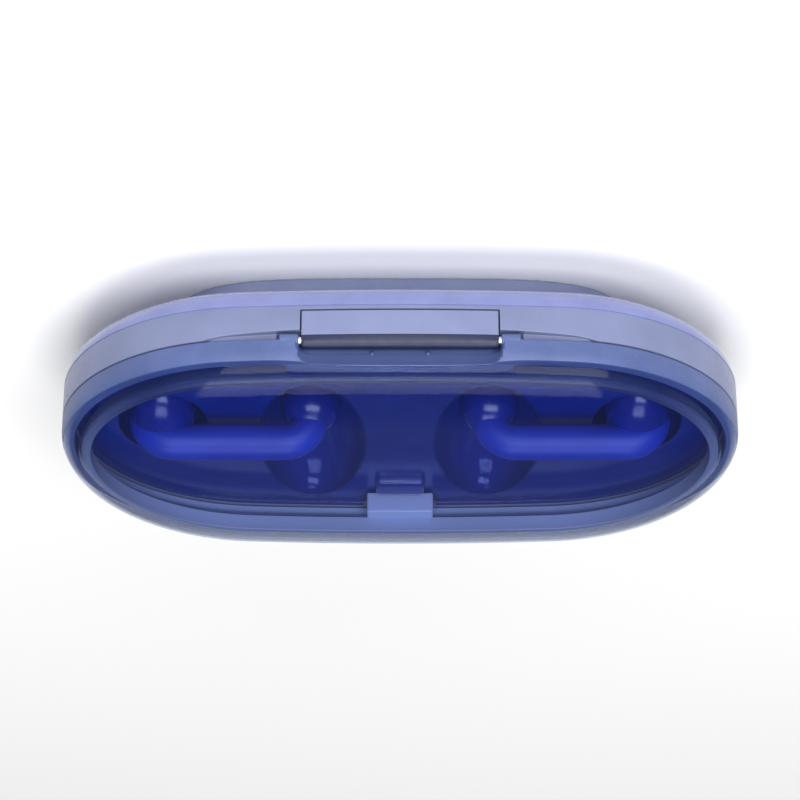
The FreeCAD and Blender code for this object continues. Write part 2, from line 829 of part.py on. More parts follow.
def make_lid_band(bump, hollow, wall):
    """The frosted band round the lid, with the hinge ears and the scoop over the hinge block."""
    ring = feature("lid_ring", oval_ring(0.0, size("lid_wall"), size("lid_bottom"), size("lip_level")))
    solid = common("lid_band_flush", fuse("lid_band_thick", [ring, bump, wall]), outer_form)
    sweep_room = box(
        "block_sweep_room",
        (d("-{block_half_length} - {block_gap}"), d("{block_half_length} + {block_gap}")),
        (d("{case_half_depth} - {axis_inset} - {knuckle_radius} - 0.1"), str(FAR)),
        (d("{lid_bottom} - 1"), d("{axis_level} + {knuckle_radius} + 0.2")),
    )
    scooped = cut("lid_band_scooped", solid, [hollow, sweep_room])
    ears = []
    for side, sign in SIDES.items():
        inner, outer = ("ear_outer", "ear_inner") if sign < 0 else ("ear_inner", "ear_outer")
        reach = (d(f"{sign} * {{{inner}}}"), d(f"{sign} * {{{outer}}}"))
        ears.append(rod(f"ear_{side}", d("{ear_radius}"), reach))
    nubs = [
        bound(
            "Part::Sphere",
            f"nub_{side}",
            {"Radius": d("{nub_radius}")},
            (
                d(f"{sign} * {{nub_spacing}} / 2"),
                d("{scoop_depth_centre} - sqrt(({scoop_radius})^2 - ({nub_level} - {scoop_level})^2)"),
                d("{nub_level}"),
            ),
        )
        for side, sign in SIDES.items()
    ]
    flush_ears = common("ears_flush", fuse("ears", ears), outer_form)
    whole = fuse("lid_band_whole", [scooped, flush_ears] + nubs)
    bore = rod("lid_bore", d("{pin_radius} + {pin_clearance}"), (str(-FAR), str(FAR)))
    keep(cut("lid_band", whole, [bore]), "lid_band")


def make_lid_dome(bump, wall):
    """The clear top of the lid, with a flange and a skirt that sit in the band."""
    shell = common("dome_shell", shell_form, slab("dome_slab", d("{lip_level}"), d("{case_top} + 1")))
    flange = feature(
        "dome_flange",
        oval_ring(size("dome_wall") - 0.2, size("flange_inner_inset"), size("lip_level"), size("flange_top")),
    )
    skirt = feature(
        "dome_skirt",
        oval_ring(
            size("dome_skirt_outer_inset"),
            size("flange_inner_inset"),
            size("dome_skirt_bottom"),
            size("lip_level"),
        ),
    )
    whole = fuse("dome_whole", [shell, flange, skirt])
    lipped = cut("dome_lipped", whole, [bump])
    keep(cut("lid_dome", lipped, [wall]), "lid_dome")


def make_lid_seal(wall):
    """The dark ring just inside the dome, which frames the window and holds it in the band."""
    ring = feature(
        "seal_ring",
        oval_ring(
            size("seal_outer_inset"), size("seal_inner_inset"), size("dome_skirt_bottom"), size("seal_top")
        ),
    )
    inside = common("seal_inside", ring, inner_form)
    keep(cut("lid_seal", inside, [wall, catch_block("seal_catch_room")]), "lid_seal")


def catch_block(name):
    """The block that hangs from the front of the lid and holds its magnet."""
    return box(
        name,
        (d("-{catch_half_length}"), d("{catch_half_length}")),
        (d("{catch_front}"), d("{catch_rear}")),
        (d("{catch_bottom}"), d("{catch_top}")),
    )


def lid_magnet_block(name):
    """The lid's magnet, facing the magnet in the plinth."""
    return box(
        name,
        (d("-{closing_magnet_half_length}"), d("{closing_magnet_half_length}")),
        (d("{catch_rear} - 0.6 - {closing_magnet_depth}"), d("{catch_rear} - 0.6")),
        (d("{catch_bottom} + 0.4"), d("{catch_bottom} + 0.4 + {closing_magnet_height}")),
    )


def make_lid_catch():
    """The lid's catch and its magnet."""
    skirt_room = feature(
        "catch_skirt_room",
        oval_ring(0.0, size("flange_inner_inset"), size("dome_skirt_bottom"), size("lip_level")),
    )
    catch = cut("lid_catch", catch_block("catch_body"), [lid_magnet_block("catch_magnet_room"), skirt_room])
    keep(catch, "lid_catch")
    keep(lid_magnet_block("lid_magnet"), "lid_magnet")


# ---------------------------------------------------------------- earbuds


def bridge_solid(sign, radius):
    """The springy tube that arches from barrel to ball: a bar, a quarter bend at each end and two legs."""
    y = size("bridge_y")
    outer, inner = sign * size("bridge_outer_x"), sign * size("bridge_inner_x")
    low, high, bend = size("bridge_foot_level"), size("bridge_level"), size("bridge_bend")
    bar_start = Vector(min(outer, inner) + bend, y, high)
    tube = Part.makeCylinder(radius, abs(outer - inner) - 2 * bend, bar_start, Vector(1, 0, 0))
    for x, inward in ((outer, -sign), (inner, sign)):
        bend_centre = Vector(x + inward * bend, y, high - bend)
        ring = Part.makeTorus(bend, radius, bend_centre, Vector(0, 1, 0))
        near, far = sorted((x - inward * 2 * radius, x + inward * bend))
        corner = Vector(near, y - 2 * radius, high - bend)
        quarter = ring.common(Part.makeBox(far - near, 4 * radius, bend + 2 * radius, corner))
        leg = Part.makeCylinder(radius, high - bend - low, Vector(x, y, low))
        tube = tube.fuse([quarter, leg])
    return tube


def make_earbud(side, sign):
    """One earbud: ball with grille and driver, arched bridge, barrel with cell, and charging contacts."""
    ball_centre = (sign * size("ball_offset"), size("bridge_y"), size("ball_level"))
    bean_centre = (sign * size("bean_offset"), size("bean_centre_y"), size("barrel_level"))
    radius, wall = size("ball_radius"), size("ball_shell_wall")
    ball = Part.makeSphere(radius, Vector(*ball_centre))
    hollow = Part.makeSphere(radius - wall, Vector(*ball_centre))
    bean = spheroid(size("bean_radius"), size("bean_half_y"), bean_centre)
    room_start = Vector(bean_centre[0], bean_centre[1] - size("bean_room_offset"), bean_centre[2])
    room = Part.makeCylinder(size("bean_room_radius"), size("bean_room_length"), room_start, Vector(0, 1, 0))
    tube = bridge_solid(sign, size("bridge_radius"))

    port_y = size("bridge_y") - radius
    port_start = Vector(ball_centre[0], port_y - wall / 2, ball_centre[2])
    port = Part.makeCylinder(size("grille_radius"), 2 * wall, port_start, Vector(0, 1, 0))
    grille = ball.cut(hollow).common(port)
    keep(feature(f"bud_grille_{side}", grille), f"bud_grille_{side}")
    keep(feature(f"bud_ball_{side}", ball.cut(hollow).cut(port)), f"bud_ball_{side}")

    driver_front = Vector(ball_centre[0], ball_centre[1] - size("driver_offset"), ball_centre[2])
    driver = Part.makeCylinder(size("driver_radius"), size("driver_height"), driver_front, Vector(0, 1, 0))
    keep(feature(f"bud_driver_{side}", driver), f"bud_driver_{side}")

    discs = []
    shell = bean.cut(room)
    for step in (-0.5, 0.5):
        x = bean_centre[0] + step * size("contact_pitch")
        place = Vector(x, size("contact_y"), size("contact_level"))
        discs.append(Part.makeCylinder(size("contact_radius"), size("contact_height"), place))
        reach = size("contact_height") + 1.0
        shell = shell.cut(Part.makeCylinder(size("contact_radius"), reach, place - Vector(0, 0, 1.0)))
    keep(feature(f"bud_barrel_{side}", shell), f"bud_barrel_{side}")
    keep(feature(f"bud_contacts_{side}", Part.makeCompound(discs)), f"bud_contacts_{side}")

    cell_start = Vector(bean_centre[0], bean_centre[1] - size("bud_cell_offset"), bean_centre[2])
    cell = Part.makeCylinder(size("bud_cell_radius"), size("bud_cell_length"), cell_start, Vector(0, 1, 0))
    keep(feature(f"bud_cell_{side}", cell), f"bud_cell_{side}")
    keep(feature(f"bud_bridge_{side}", tube.cut(ball).cut(bean)), f"bud_bridge_{side}")


def check_objects():
    """Stops if any object failed or any sub-part is empty or not valid."""
    for obj in doc.Objects:
        if {"Invalid", "Error"} & set(obj.State):
            raise RuntimeError(f"{obj.Name} failed: {obj.State}")
    for obj in SUBPARTS:
        shape = obj.Shape
        if shape.isNull() or not shape.isValid() or not shape.Solids:
            raise RuntimeError(f"{obj.Label} has no valid solid")


def export():
    """Writes one STEP file per sub-part."""
    os.makedirs("parts", exist_ok=True)
    for obj in SUBPARTS:
        obj.Shape.exportStep(f"parts/{obj.Label}.step")
        print(f"{obj.Label}: {len(obj.Shape.Solids)} solid(s), {obj.Shape.Volume:.2f} mm3")


relief = hinge_relief()
ear_room = rod(
    "ear_pocket",
    d("{ear_pocket_radius}"),
    (d("-{ear_pocket_half_length}"), d("{ear_pocket_half_length}")),
)
make_foot()
make_bottom_shell()
make_base_band(relief, ear_room)
make_hinge_block()
make_hinge_pin()
make_tray(ear_room)
make_liners()
make_board()
make_light_pipe()
make_charging_port()
make_battery()
make_contacts()
make_magnets()
make_screws()

swell = lip_bump()
hollow_bar = scoop()
thick_wall = backing()
make_lid_band(swell, hollow_bar, thick_wall)
make_lid_dome(swell, thick_wall)
make_lid_seal(thick_wall)
make_lid_catch()

for side_name, side_sign in SIDES.items():
    make_earbud(side_name, side_sign)

doc.recompute()
check_objects()
export()
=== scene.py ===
"""Looks of the wireless earbuds case: clear lid, frosted bands, navy cradle and blue ear-clip earbuds."""

import json
import math

import bmesh
import bpy
from mathutils import Matrix, Vector


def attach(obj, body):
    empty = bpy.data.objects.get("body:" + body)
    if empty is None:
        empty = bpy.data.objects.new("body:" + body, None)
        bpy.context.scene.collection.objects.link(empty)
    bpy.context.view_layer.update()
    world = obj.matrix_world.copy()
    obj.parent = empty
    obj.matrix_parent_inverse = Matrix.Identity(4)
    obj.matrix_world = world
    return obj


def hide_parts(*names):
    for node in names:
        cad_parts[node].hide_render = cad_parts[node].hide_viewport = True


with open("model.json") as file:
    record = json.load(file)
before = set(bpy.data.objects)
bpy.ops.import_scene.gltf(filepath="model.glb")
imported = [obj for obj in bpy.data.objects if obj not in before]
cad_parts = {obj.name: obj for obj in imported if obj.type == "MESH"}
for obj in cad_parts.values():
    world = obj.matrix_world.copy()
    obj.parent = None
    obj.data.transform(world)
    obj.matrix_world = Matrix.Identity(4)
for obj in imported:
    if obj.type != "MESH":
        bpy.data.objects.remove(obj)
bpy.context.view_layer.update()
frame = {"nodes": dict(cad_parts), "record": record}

MM = 0.001
NODES = frame["nodes"]
SIDES = {"left": -1, "right": 1}


# ---------------------------------------------------------------- sizes, in millimetres, as in the design

HALF_LENGTH = 39.0
HALF_DEPTH = 23.0
END_RADIUS = 22.4
END_X = HALF_LENGTH - END_RADIUS
SIDE_RADIUS = (END_X**2 + HALF_DEPTH**2 - END_RADIUS**2) / (2 * (HALF_DEPTH - END_RADIUS))
SIDE_Y = SIDE_RADIUS - HALF_DEPTH
TURN = math.atan2(SIDE_Y, END_X)

CASE_BOTTOM, CASE_TOP = 2.9, 19.0
BELT_BOTTOM, BELT_TOP = 7.9, 13.4
BASE_ROUND, LID_ROUND = 12.0, 9.0
SHELL_WALL, SHELL_FLOOR = 1.1, 1.0
SHELL_SEAM, BAND_TOP = 8.1, 12.0
LID_BOTTOM, LIP_LEVEL, LIP_BUMP = 12.15, 14.65, 0.7
BUMP_HALF = 15.0
AXIS_Y, AXIS_Z = 21.95, 12.05
KNUCKLE = 0.95
BLOCK_HALF, BLOCK_GAP = 10.8, 0.14
BLOCK_INNER, BLOCK_BOTTOM = 20.75, 8.7
SCOOP_RADIUS, SCOOP_Y, SCOOP_Z, SCOOP_HALF = 3.95, 24.9, 12.2, 11.2
DECK_TOP, RIM_TOP = 11.4, 11.9
SEAL_TOP, SEAL_BOTTOM = 16.1, 14.3
FLANGE_INSET = 2.3
BALL_X, BEAN_X = 10.3, 27.4
BALL_Z, BEAN_Z, BARREL_Z = 9.35, 10.9, 10.2
BALL_RADIUS, BEAN_RADIUS, BEAN_HALF_Y = 3.5, 4.0, 7.0
BRIDGE_Y, BEAN_Y = 0.9, 0.3
BRIDGE_RADIUS, BRIDGE_LEVEL, BRIDGE_FOOT, BRIDGE_BEND = 2.1, 14.1, 10.0, 3.1
BRIDGE_OUTER_X, BRIDGE_INNER_X = 29.2, 10.3
CONTACT_Y, CONTACT_PITCH, CONTACT_BORE = 4.6, 2.2, 0.67
BOWL_Y, LINER_RADIUS, LINER_HALF_Y, LINER_WALL = -4.6, 6.1, 14.5, 0.28
FOOT_HALF_X, FOOT_HALF_Y, FOOT_POWER = 26.0, 14.7, 4.0
PORT_RADIUS, PORT_HALF, PORT_LEVEL, PORT_GAP = 1.58, 4.47, 6.32, 0.12
PORT_DEPTHS = (-30.0, -14.8)
PIN_ROOM, PIN_ROOM_HALF = 1.02, 13.5
BACKED_HALF, BACKED_Y, BACKED_TOP = 12.4, 20.0, 15.3
MIDDLE_INSET = 22.3  # nearly all the way in, where a swept sheet closes on itself
BEYOND = 26.0  # outside the case, for cuts that run right through
CREASE = 35.0  # degrees between faces that makes an edge sharp


def lid_inset(z, inset=0.0, roof=CASE_TOP):
    """How far the case's outline has drawn in at level z above the belt."""
    share = min(max((z - BELT_TOP) / (roof - BELT_TOP), 0.0), 1.0)
    return inset + (LID_ROUND - inset) * (1 - math.sqrt(1 - share**2))


def outer_depth(x):
    """Depth of the rear outer face at x."""
    return math.sqrt(SIDE_RADIUS**2 - x**2) - SIDE_Y


# ---------------------------------------------------------------- the oval and its sweeps


def oval_stations(end_steps=56, front_steps=72, rear_steps=150):
    """Centre, radius and direction of each station round the oval, starting at its right end's front."""
    arcs = [
        ((END_X, 0.0), END_RADIUS, -TURN, TURN, end_steps),
        ((0.0, -SIDE_Y), SIDE_RADIUS, TURN, math.pi - TURN, rear_steps),
        ((-END_X, 0.0), END_RADIUS, math.pi - TURN, math.pi + TURN, end_steps),
        ((0.0, SIDE_Y), SIDE_RADIUS, math.pi + TURN, 2 * math.pi - TURN, front_steps),
    ]
    stations = []
    for centre, radius, start, end, steps in arcs:
        for step in range(steps):
            angle = start + (end - start) * step / steps
            stations.append((centre, radius, math.cos(angle), math.sin(angle)))
    return stations


STATIONS = oval_stations()


def oval_point(station, inset, z):
    """The point at a station, moved in by inset, in millimetres."""
    centre, radius, dx, dy = station
    reach = radius - inset
    return Vector((centre[0] + dx * reach, centre[1] + dy * reach, z))


def piece(name, mesh, body, slot, material, *replaced):
    """Makes an object of a mesh built in millimetres, and puts it on its body with its material."""
    obj = bpy.data.objects.new(name, mesh)
    bpy.context.scene.collection.objects.link(obj)
    mesh.transform(Matrix.Scale(MM, 4))
    mesh.shade_smooth()
    mesh.set_sharp_from_angle(angle=math.radians(CREASE))
    mesh.materials.clear()
    mesh.materials.append(material)
    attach(obj, body)
    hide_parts(*replaced)
    return obj


def mesh_of(bm, name):
    """A mesh from a bmesh, with its normals facing out."""
    bmesh.ops.remove_doubles(bm, verts=bm.verts, dist=1e-4)
    bmesh.ops.dissolve_degenerate(bm, edges=bm.edges, dist=1e-5)
    bmesh.ops.recalc_face_normals(bm, faces=bm.faces)
    mesh = bpy.data.meshes.new(name)
    bm.to_mesh(mesh)
    bm.free()
    return mesh


def sweep(name, profile, closed=True):
    """A mesh swept round the oval. profile(station) gives (inset, z) points, as many at each station."""
    bm = bmesh.new()
    rings = []
    for station in STATIONS:
        rings.append([bm.verts.new(oval_point(station, inset, z)) for inset, z in profile(station)])
    count = len(rings[0])
    spans = count if closed else count - 1
    for ring, following in zip(rings, rings[1:] + rings[:1]):
        for k in range(spans):
            nxt = (k + 1) % count
            bm.faces.new((ring[k], following[k], following[nxt], ring[nxt]))
    if not closed:
        bm.faces.new([ring[0] for ring in rings])
        bm.faces.new([ring[-1] for ring in rings][::-1])
    return mesh_of(bm, name)


def soften(points, radius, steps=3):
    """The same closed outline with each corner rounded by up to radius."""
    result = []
    count = len(points)
    for k, corner in enumerate(points):
        here = Vector(corner)
        before, after = Vector(points[k - 1]) - here, Vector(points[(k + 1) % count]) - here
        cut = min(radius, before.length * 0.45, after.length * 0.45)
        start = here + before.normalized() * cut
        end = here + after.normalized() * cut
        for step in range(steps + 1):
            t = step / steps
            point = start * (1 - t) ** 2 + here * 2 * t * (1 - t) + end * t**2
            result.append((point.x, point.y))
    return result


def quarter(start_inset, end_inset, start_z, end_z, steps):
    """Points of a quarter ellipse that leaves upright at its start and ends level."""
    points = []
    for step in range(steps + 1):
        angle = math.pi / 2 * step / steps
        inset = start_inset + (end_inset - start_inset) * (1 - math.cos(angle))
        points.append((inset, start_z + (end_z - start_z) * math.sin(angle)))
    return points


def boolean(obj, tools, operation="DIFFERENCE"):
    """Cuts or joins tool meshes, given in millimetres, and applies the result."""
    for mesh in tools:
        mesh.transform(Matrix.Scale(MM, 4))
        tool = bpy.data.objects.new("tool", mesh)
        bpy.context.scene.collection.objects.link(tool)
        modifier = obj.modifiers.new("cut", "BOOLEAN")
        modifier.operation = operation
        modifier.solver = "EXACT"
        modifier.object = tool
        bpy.context.view_layer.update()
        graph = bpy.context.evaluated_depsgraph_get()
        result = bpy.data.meshes.new_from_object(obj.evaluated_get(graph))
        obj.modifiers.remove(modifier)
        materials = list(obj.data.materials)
        obj.data = result
        result.materials.clear()
        for material in materials:
            result.materials.append(material)
        bpy.data.objects.remove(tool)


def sharpen(obj):
    """Smooth shading, with creases at sharp edges, after cuts have made new faces."""
    obj.data.shade_smooth()
    obj.data.set_sharp_from_angle(angle=math.radians(CREASE))


def block_mesh(x, y, z, bevel=0.0, segments=3):
    """A block between pairs of coordinates, in millimetres, with bevelled edges."""
    bm = bmesh.new()
    bmesh.ops.create_cube(bm, size=1.0)
    size = Vector((x[1] - x[0], y[1] - y[0], z[1] - z[0]))
    middle = Vector((x[1] + x[0], y[1] + y[0], z[1] + z[0])) / 2
    bmesh.ops.scale(bm, vec=size, verts=bm.verts)
    bmesh.ops.translate(bm, vec=middle, verts=bm.verts)
    if bevel:
        bmesh.ops.bevel(bm, geom=bm.edges[:], offset=bevel, segments=segments, affect="EDGES", profile=0.5)
    return mesh_of(bm, "block")


def lathe_mesh(points, axis, centre, steps=64):
    """A closed mesh turned about an axis through centre. points are (radius, distance along the axis)."""
    bm = bmesh.new()
    along = Vector(axis).normalized()
    side = along.orthogonal().normalized()
    other = along.cross(side)
    rings = []
    for radius, distance in points:
        middle = Vector(centre) + along * distance
        if radius < 1e-6:
            rings.append([bm.verts.new(middle)])
            continue
        ring = []
        for step in range(steps):
            angle = 2 * math.pi * step / steps
            ring.append(bm.verts.new(middle + (side * math.cos(angle) + other * math.sin(angle)) * radius))
        rings.append(ring)
    for low, high in zip(rings, rings[1:]):
        for step in range(steps):
            nxt = (step + 1) % steps
            if len(low) == 1:
                bm.faces.new((low[0], high[nxt], high[step]))
            elif len(high) == 1:
                bm.faces.new((low[step], low[nxt], high[0]))
            else:
                bm.faces.new((low[step], low[nxt], high[nxt], high[step]))
    if len(rings[0]) > 1 and len(rings[-1]) > 1 and points[0] != points[-1]:
        bm.faces.new(rings[0][::-1])
        bm.faces.new(rings[-1])
    return mesh_of(bm, "turned")


def spheroid_mesh(radius, half_y, centre, steps=96, rows=64):
    """A closed ellipsoid, round about Y."""
    points = []
    for row in range(rows + 1):
        angle = math.pi * row / rows
        points.append((radius * math.sin(angle), -half_y * math.cos(angle)))
    points[0], points[-1] = (0.0, -half_y), (0.0, half_y)
    return lathe_mesh(points, (0, 1, 0), centre, steps)


def joined(name, meshes):
    """One mesh that holds several closed ones."""
    bm = bmesh.new()
    for mesh in meshes:
        bm.from_mesh(mesh)
    result = bpy.data.meshes.new(name)
    bm.to_mesh(result)
    bm.free()
    return result


# ---------------------------------------------------------------- materials


def rgb(red, green, blue):
    """A linear colour from 8-bit sRGB numbers."""

    def linear(value):
        value /= 255
        return value / 12.92 if value <= 0.04045 else ((value + 0.055) / 1.055) ** 2.4

    return (linear(red), linear(green), linear(blue), 1.0)


class Maker:
    """Builds one material's nodes."""

    def __init__(self, name):
        self.material = bpy.data.materials.new(name)
        self.material.use_nodes = True
        self.tree = self.material.node_tree
        self.shader = self.tree.nodes["Principled BSDF"]
        self.place = self.tree.nodes.new("ShaderNodeTexCoord").outputs["Object"]

    def set(self, **values):
        for key, value in values.items():
            self.shader.inputs[key.replace("_", " ")].default_value = value
        return self

    def node(self, kind, inputs=None, **settings):
        node = self.tree.nodes.new(kind)
        for key, value in settings.items():
            setattr(node, key, value)
        for key, value in (inputs or {}).items():
            if isinstance(value, bpy.types.NodeSocket):
                self.tree.links.new(value, node.inputs[key])
            else:
                node.inputs[key].default_value = value
        return node

    def noise(self, scale, detail=3.0, roughness=0.5):
        inputs = {"Vector": self.place, "Scale": scale, "Detail": detail, "Roughness": roughness}
        return self.node("ShaderNodeTexNoise", inputs).outputs["Fac"]

    def cells(self, scale):
        return self.node("ShaderNodeTexVoronoi", {"Vector": self.place, "Scale": scale}).outputs["Distance"]

    def ramp(self, value, stops):
        node = self.node("ShaderNodeValToRGB", {"Fac": value})
        ramp = node.color_ramp
        while len(ramp.elements) < len(stops):
            ramp.elements.new(0.5)
        for element, (position, colour) in zip(ramp.elements, stops):
            element.position = position
            element.color = colour
        return node.outputs["Color"]

    def grey(self, value, low, high, start=0.3, end=0.7):
        return self.ramp(value, [(start, (low, low, low, 1)), (end, (high, high, high, 1))])

    def feed(self, name, value):
        self.tree.links.new(value, self.shader.inputs[name])
        return self

    def blend(self, share, first, second):
        """One colour where share is 0, running to a constant second colour where it is 1."""
        node = self.node("ShaderNodeMix", {"Factor": share, 6: first, 7: second}, data_type="RGBA")
        return node.outputs[2]

    def axis(self, name):
        return self.node("ShaderNodeSeparateXYZ", {0: self.place}).outputs[name]

    def bump(self, height, strength, distance):
        node = self.node("ShaderNodeBump", {"Height": height, "Strength": strength, "Distance": distance})
        return self.feed("Normal", node.outputs["Normal"])


def moulded(name, dark, light, roughness, grain=0.00002, coat=0.0):
    """Plain moulded plastic: faint cloudy colour, uneven gloss and a fine grain."""
    make = Maker(name)
    make.set(IOR=1.46, Coat_Weight=coat, Coat_Roughness=0.08)
    make.feed("Base Color", make.ramp(make.noise(260.0), [(0.3, dark), (0.7, light)]))
    make.feed("Roughness", make.grey(make.noise(900.0), roughness - 0.03, roughness + 0.03))
    make.bump(make.noise(9000.0, 2.0), 0.25, grain)
    return make.material


def painted_shade_on_top(name, dark, light, cap, level):
    """Moulded plastic whose upper part, above a level, is painted dark: painted shade on the upward-facing
    crown.
    """
    make = Maker(name)
    make.set(IOR=1.46)
    # Above the level the colour is painted shade: the cap colour stands in for the shaded crown.
    above = make.node("ShaderNodeMath", {0: make.axis("Z"), 1: level}, operation="GREATER_THAN").outputs[0]
    cloud = make.ramp(make.noise(260.0), [(0.3, dark), (0.7, light)])
    make.feed("Base Color", make.blend(above, cloud, cap))
    make.feed("Roughness", make.grey(make.noise(900.0), 0.4, 0.5))
    make.bump(make.noise(9000.0, 2.0), 0.25, 0.00002)
    return make.material


def painted_shade_fade(name, rear, front, roughness):
    """Matt plastic with painted light and shade: a dark tone at the hinge, where it lies in shade, running to
    a pale lit one at the front.
    """
    make = Maker(name)
    make.set(IOR=1.46)
    # The fade along Y is painted light and shade: shade at the hinge side, light at the front.
    ends = {"Value": make.axis("Y"), "From Min": 0.016, "From Max": -0.018}
    share = make.node("ShaderNodeMapRange", ends).outputs["Result"]
    make.feed("Base Color", make.ramp(share, [(0.0, rear), (1.0, front)]))
    make.feed("Roughness", make.grey(make.noise(900.0), roughness - 0.04, roughness + 0.04))
    make.bump(make.noise(9000.0, 2.0), 0.25, 0.00002)
    return make.material


def frosted(name, dark, light, roughness, sparkle, front=None):
    """Frosted plastic with painted glints of a fine moulded texture, and, if one is given, a paler front that
    is painted light.
    """
    make = Maker(name)
    make.set(IOR=1.46)
    specks = make.cells(4200.0)
    cloud = make.ramp(make.noise(180.0), [(0.3, dark), (0.7, light)])
    if front:
        # A front colour is painted light: the front of the band is painted pale, as where light reaches it.
        ends = {"Value": make.axis("Y"), "From Min": -0.004, "From Max": -0.019}
        cloud = make.blend(make.node("ShaderNodeMapRange", ends).outputs["Result"], cloud, front)
    # Pale specks painted into the base colour are painted glints of the frosted texture.
    painted_glint = make.ramp(specks, [(0.04, (1, 1, 1, 1)), (0.16, (0, 0, 0, 1))])
    strength = make.node("ShaderNodeMath", {0: painted_glint, 1: sparkle}, operation="MULTIPLY").outputs[0]
    make.feed("Base Color", make.blend(strength, cloud, (0.62, 0.68, 0.92, 1.0)))
    make.feed("Roughness", make.grey(make.noise(1400.0), roughness - 0.05, roughness + 0.05))
    make.bump(make.cells(2600.0), 0.35, 0.00003)
    return make.material


def clear(name, tint, body, face, edge, roughness=0.03):
    """Clear tinted plastic: coloured glass face on, the colour of its body where it is seen edge on."""
    make = Maker(name)
    make.set(IOR=1.49, Roughness=roughness)
    darker = tuple(0.85 * value for value in body[:3]) + (1.0,)
    make.feed("Base Color", make.ramp(make.noise(90.0), [(0.35, darker), (0.65, body)]))
    make.bump(make.noise(400.0, 1.0), 0.05, 0.00001)
    facing = make.node("ShaderNodeLayerWeight", {"Blend": 0.5}).outputs["Facing"]
    power = make.node("ShaderNodeMath", {0: facing, 1: 8.0}, operation="POWER").outputs[0]
    limits = {"Value": power, "To Min": face, "To Max": edge}
    share = make.node("ShaderNodeMapRange", limits).outputs["Result"]
    glass = make.node("ShaderNodeBsdfTransparent")
    glass.inputs["Color"].default_value = tint
    gloss = make.node("ShaderNodeBsdfGlossy")
    gloss.inputs["Roughness"].default_value = roughness
    gloss.inputs["Color"].default_value = (0.9, 0.93, 1.0, 1.0)
    grazing = make.node("ShaderNodeMath", {0: facing, 1: 5.0}, operation="POWER").outputs[0]
    limits = {"Value": grazing, "To Min": 0.006, "To Max": 0.6}
    shine = make.node("ShaderNodeMapRange", limits).outputs["Result"]
    pane = make.node("ShaderNodeMixShader", {0: shine, 1: glass.outputs[0], 2: gloss.outputs[0]})
    mix = make.node("ShaderNodeMixShader", {0: share, 1: pane.outputs[0], 2: make.shader.outputs[0]})
    mix.name = "body_share"
    make.tree.links.new(mix.outputs[0], make.tree.nodes["Material Output"].inputs["Surface"])
    return make.material


def lets_light_through(material, share, tint):
    """Makes a frosted material partly see-through."""
    tree = material.node_tree
    glass = tree.nodes.new("ShaderNodeBsdfTransparent")
    glass.inputs["Color"].default_value = tint
    mix = tree.nodes.new("ShaderNodeMixShader")
    mix.inputs[0].default_value = share
    tree.links.new(tree.nodes["Principled BSDF"].outputs[0], mix.inputs[1])
    tree.links.new(glass.outputs[0], mix.inputs[2])
    tree.links.new(mix.outputs[0], tree.nodes["Material Output"].inputs["Surface"])
    return material


def painted_pale_front(material):
    """Adds painted light to a clear material: a pale colour, and less see-through, towards the front of the
    lid's rounded edge, standing in for the lit floor seen through the far rounding.
    """
    tree = material.node_tree
    shader, mix = tree.nodes["Principled BSDF"], tree.nodes["body_share"]
    share, body = mix.inputs[0].links[0].from_socket, shader.inputs["Base Color"].links[0].from_socket
    place = next(node for node in tree.nodes if node.type == "TEX_COORD").outputs["Object"]
    axes = tree.nodes.new("ShaderNodeSeparateXYZ")
    tree.links.new(place, axes.inputs[0])

    def fade(axis, start, end, most):
        node = tree.nodes.new("ShaderNodeMapRange")
        node.interpolation_type = "SMOOTHSTEP"
        node.inputs["From Min"].default_value = start
        node.inputs["From Max"].default_value = end
        node.inputs["To Max"].default_value = most
        tree.links.new(axes.outputs[axis], node.inputs["Value"])
        return node.outputs[0]

    def combine(operation, first, second):
        node = tree.nodes.new("ShaderNodeMath")
        node.operation = operation
        tree.links.new(first, node.inputs[0])
        tree.links.new(second, node.inputs[1])
        return node.outputs[0]

    # Painted light: the pale colour grows towards the front of the rounded edge.
    rim = fade("Z", 0.0183, 0.0150, 1.0)
    front = fade("Y", 0.002, -0.016, 0.8)
    pale = tree.nodes.new("ShaderNodeMix")
    pale.data_type = "RGBA"
    pale.inputs[7].default_value = rgb(128, 140, 178)
    tree.links.new(front, pale.inputs["Factor"])
    tree.links.new(body, pale.inputs[6])
    tree.links.new(pale.outputs[2], shader.inputs["Base Color"])
    tree.links.new(combine("MAXIMUM", combine("MULTIPLY", rim, front), share), mix.inputs[0])
    return material


def metal(name, colour, roughness):
    """Plated or brushed metal with fine uneven marks."""
    make = Maker(name)
    make.set(Metallic=1.0)
    darker = tuple(0.82 * c for c in colour[:3]) + (1.0,)
    make.feed("Base Color", make.ramp(make.noise(1500.0), [(0.3, darker), (0.7, colour)]))
    make.feed("Roughness", make.grey(make.noise(5000.0), roughness - 0.06, roughness + 0.08))
    make.bump(make.noise(12000.0), 0.2, 0.00001)
    return make.material


def circuit(name):
    """Dark solder mask with faint tracks."""
    make = Maker(name)
    make.set(IOR=1.5)
    tracks = make.node("ShaderNodeTexBrick", {"Vector": make.place, "Scale": 900.0, "Mortar Size": 0.03})
    tracks.inputs["Color1"].default_value = rgb(12, 52, 44)
    tracks.inputs["Color2"].default_value = rgb(14, 58, 50)
    tracks.inputs["Mortar"].default_value = rgb(30, 96, 70)
    make.feed("Base Color", tracks.outputs["Color"])
    make.feed("Roughness", make.grey(make.noise(1200.0), 0.25, 0.4))
    make.bump(tracks.outputs["Fac"], 0.3, 0.00003)
    return make.material


def mesh_grille(name):
    """Fine woven metal mesh."""
    make = Maker(name)
    make.set(Metallic=0.9)
    holes = make.cells(5200.0)
    make.feed("Base Color", make.ramp(holes, [(0.25, rgb(10, 12, 22)), (0.45, rgb(120, 128, 160))]))
    make.feed("Roughness", make.grey(holes, 0.35, 0.6))
    make.bump(holes, 0.6, 0.00005)
    return make.material


